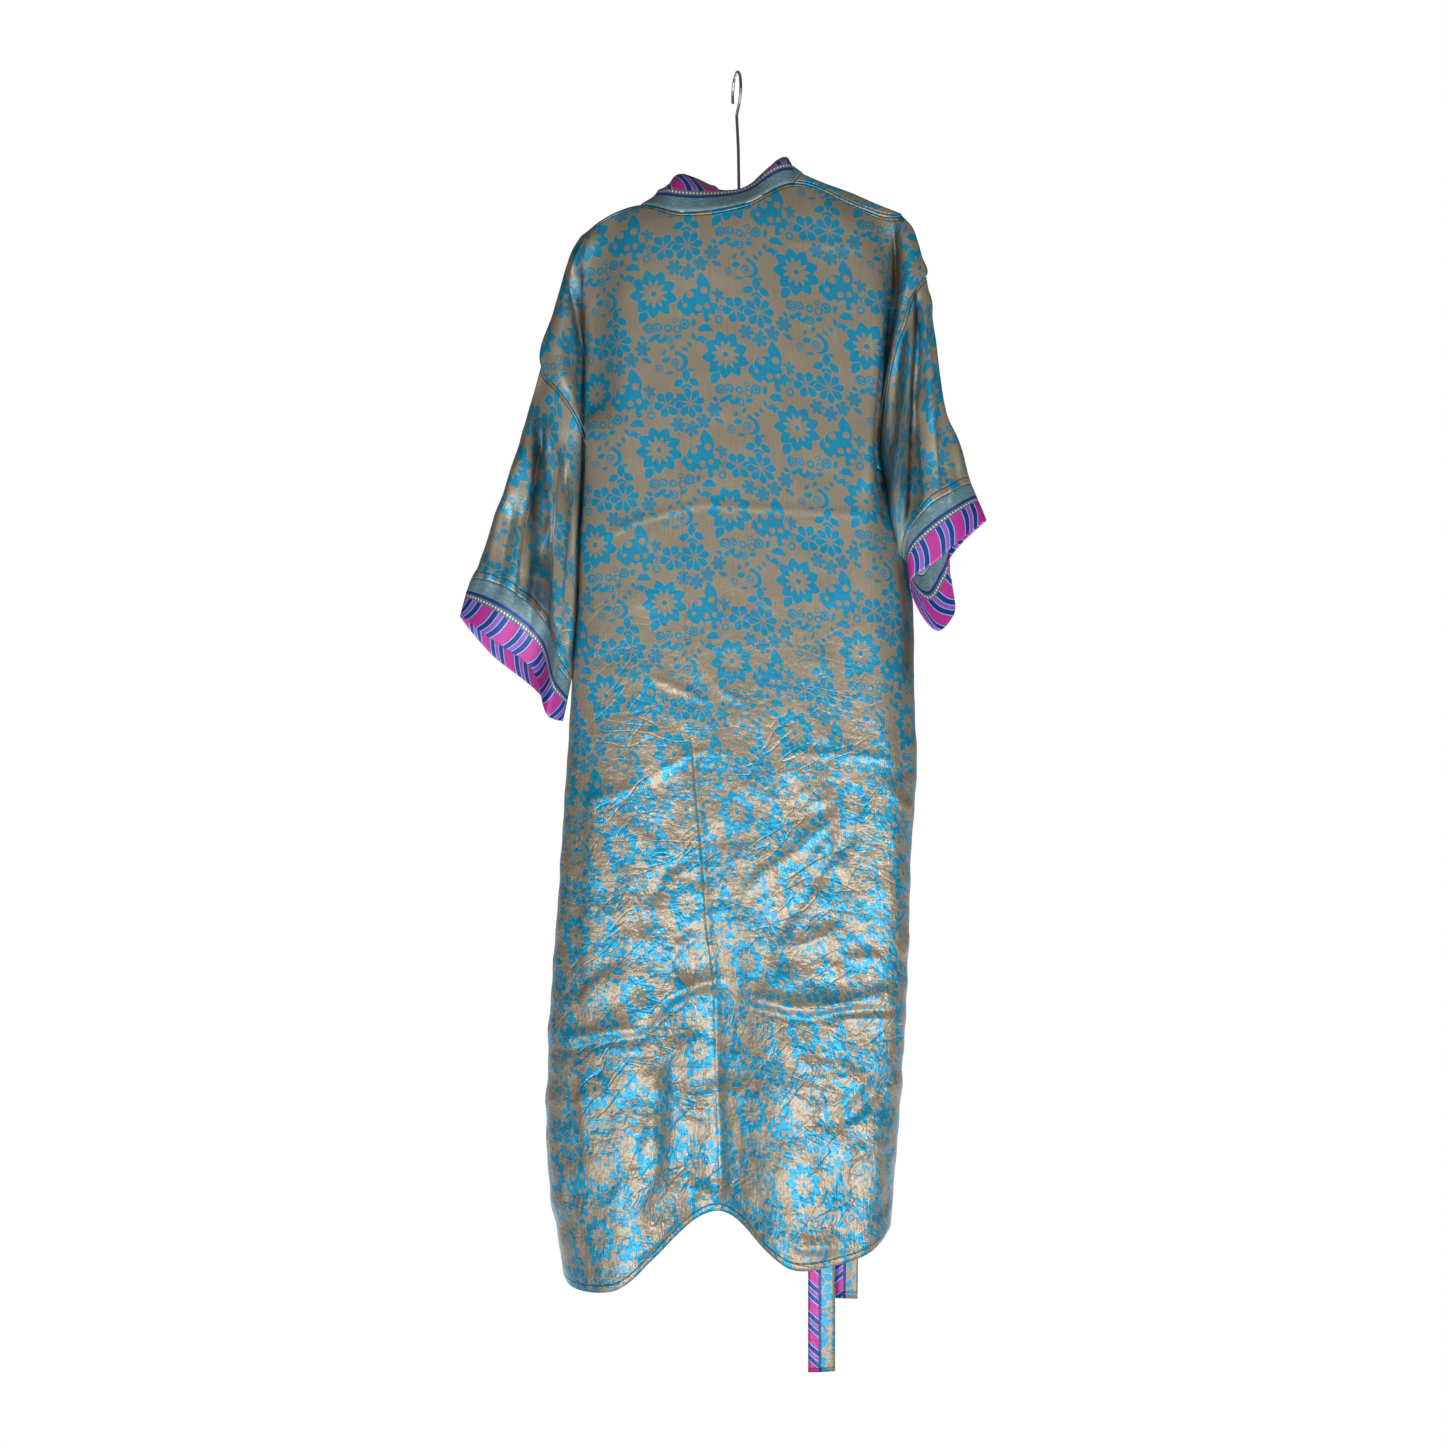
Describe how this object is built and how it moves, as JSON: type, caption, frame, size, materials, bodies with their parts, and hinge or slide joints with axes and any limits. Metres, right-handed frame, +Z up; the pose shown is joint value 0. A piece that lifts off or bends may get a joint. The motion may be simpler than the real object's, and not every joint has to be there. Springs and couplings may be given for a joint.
{
  "type": "kimono robe on hanger",
  "caption": "Long kimono-style wrap robe in printed satin with a bordered neck band, wide cuffed sleeves and a loose belt, hung back to the viewer on a plain hanger.",
  "frame": {"origin": "inside top of the hanger's hook, where the rod carries it", "axes": "+Z up along the hanging length, -Y towards the viewer of the back, +X towards the wearer's right"},
  "size_m": [0.6324, 0.179, 1.5616],
  "materials": {
    "printed_satin": "satin with a turquoise flower print",
    "woven_border": "striped woven border",
    "belt_cloth": "striped border and satin",
    "loop_cord": "matt cord",
    "hanger_moulding": "plain moulding",
    "hook_wire": "bright wire"
  },
  "bodies": {
    "root": {"back": "printed_satin", "front_left": "printed_satin", "front_right": "printed_satin", "sleeve_left": "printed_satin", "sleeve_right": "printed_satin", "neck_band": "woven_border", "cuff_left": "woven_border", "cuff_right": "woven_border", "belt": "belt_cloth", "belt_loop_right": "loop_cord", "belt_loop_left": "loop_cord", "hanger_body": "hanger_moulding", "hanger_hook": "hook_wire"}
  },
  "joints": []
}
